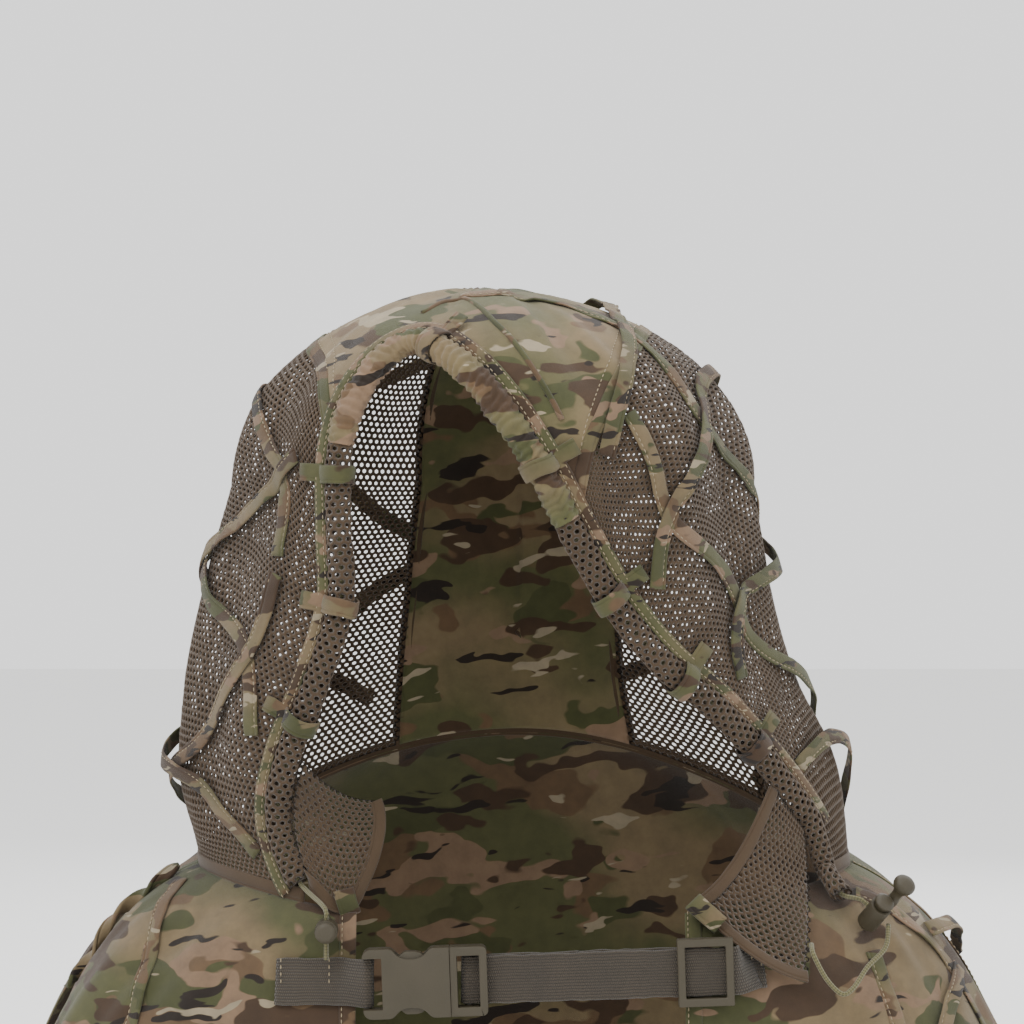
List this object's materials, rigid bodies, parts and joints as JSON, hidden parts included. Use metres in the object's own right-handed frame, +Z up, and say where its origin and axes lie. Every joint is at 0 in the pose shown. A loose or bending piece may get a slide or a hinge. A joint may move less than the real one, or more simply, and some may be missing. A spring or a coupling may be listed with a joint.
{
  "type": "ghillie suit hood",
  "caption": "Mesh and camouflage ghillie hood with a drawcord face opening, garnish tape net, and a shoulder cape closed by a buckled chest strap.",
  "frame": {"origin": "middle of the neck opening at the height of the wearer's shoulders", "axes": "+Z up, -Y to the wearer's front, +X to the viewer's right from the front"},
  "size_m": [0.5798, 0.2857, 0.5769],
  "materials": {
    "camo_cloth": "matt printed ripstop in tan, olive, brown and cream",
    "mesh_cloth": "knitted coyote-brown mesh with open holes",
    "tape_cloth": "folded camouflage tape with an edge stitch",
    "webbing": "flat woven grey-brown webbing",
    "cord": "braided olive elastic cord",
    "plastic": "moulded, finely textured olive brown",
    "spring_steel": "plain spring wire"
  },
  "bodies": {
    "cape": {"cape_front_left": "camo_cloth", "cape_front_right": "camo_cloth", "cape_back": "camo_cloth", "cape_tape_left_shoulder": "tape_cloth", "cape_tape_left_front": "tape_cloth", "cape_tape_left_cross": "tape_cloth", "cape_tape_right_shoulder": "tape_cloth", "cape_tape_right_over": "tape_cloth", "cape_tape_right_cross": "tape_cloth", "cape_tape_right_front": "tape_cloth", "cape_tape_back_left": "tape_cloth", "cape_tape_back_right": "tape_cloth", "webbing_short": "webbing", "webbing_main": "webbing", "webbing_return": "webbing", "buckle_female": "plastic", "drawcord_loop": "cord", "cord_lock_left_barrel": "plastic", "cord_lock_right_barrel": "plastic", "cord_lock_left_spring": "spring_steel", "cord_lock_right_spring": "spring_steel"},
    "hood": {"hood_crown_panel": "camo_cloth", "hood_back_panel": "camo_cloth", "hood_brim": "camo_cloth", "hood_side_mesh_left": "mesh_cloth", "hood_side_mesh_right": "mesh_cloth", "hood_back_mesh_left": "mesh_cloth", "hood_back_mesh_right": "mesh_cloth", "hood_channel_left": "mesh_cloth", "hood_channel_right": "mesh_cloth", "collar_gusset_left": "mesh_cloth", "collar_gusset_right": "mesh_cloth", "hood_tape_right_1": "tape_cloth", "hood_tape_right_2": "tape_cloth", "hood_tape_right_3": "tape_cloth", "hood_tape_right_4": "tape_cloth", "hood_tape_right_5": "tape_cloth", "hood_tape_right_6": "tape_cloth", "hood_tape_left_1": "tape_cloth", "hood_tape_left_2": "tape_cloth", "hood_tape_left_3": "tape_cloth", "hood_tape_left_4": "tape_cloth", "hood_tape_left_5": "tape_cloth", "channel_loop_1": "tape_cloth", "channel_loop_2": "tape_cloth", "channel_loop_3": "tape_cloth", "channel_loop_4": "tape_cloth", "channel_loop_5": "tape_cloth", "channel_loop_6": "tape_cloth", "channel_loop_7": "tape_cloth", "channel_loop_8": "tape_cloth", "hood_edge_piping": "tape_cloth", "drawcord": "cord"},
    "plug": {"buckle_plug": "plastic"},
    "upper_arm": {"latch_arm_upper": "plastic"},
    "lower_arm": {"latch_arm_lower": "plastic"},
    "slider": {"strap_slider": "plastic"},
    "left_plunger": {"cord_lock_left_plunger": "plastic"},
    "right_plunger": {"cord_lock_right_plunger": "plastic"}
  },
  "joints": [
    {"name": "hood_tilt", "type": "hinge", "parent": "cape", "child": "hood", "pos_m": [0, 0.1165, 0.0655], "axis": [-1, 0, 0], "range_deg": [0, 10], "deforming": ["drawcord"]},
    {"name": "plug_pull", "type": "slide", "parent": "cape", "child": "plug", "axis": [0.9994, 0, 0.0349], "range_m": [0, 0.022], "deforming": ["webbing_main", "webbing_return"]},
    {"name": "upper_arm_squeeze", "type": "hinge", "parent": "plug", "child": "upper_arm", "pos_m": [-0.04526, -0.1175, -0.03457], "axis": [0, -1, 0], "range_deg": [0, 8], "stiffness_Nm_per_rad": 0.25},
    {"name": "lower_arm_squeeze", "type": "hinge", "parent": "plug", "child": "lower_arm", "pos_m": [-0.04449, -0.1175, -0.05656], "axis": [0, 1, 0], "range_deg": [0, 8], "stiffness_Nm_per_rad": 0.25},
    {"name": "slider_adjust", "type": "slide", "parent": "cape", "child": "slider", "axis": [-0.9994, 0, -0.0349], "range_m": [0, 0.05], "deforming": ["webbing_return"]},
    {"name": "left_lock_press", "type": "slide", "parent": "cape", "child": "left_plunger", "axis": [0, 1, 0], "range_m": [0, 0.0024], "stiffness_N_per_m": 300, "deforming": ["cord_lock_left_spring"]},
    {"name": "right_lock_press", "type": "slide", "parent": "cape", "child": "right_plunger", "axis": [-0.4259, 0.6379, -0.6416], "range_m": [0, 0.0024], "stiffness_N_per_m": 300, "deforming": ["cord_lock_right_spring"]}
  ],
  "couplings": [
    {"joint": "lower_arm_squeeze", "follows": "upper_arm_squeeze", "ratio": 1}
  ]
}
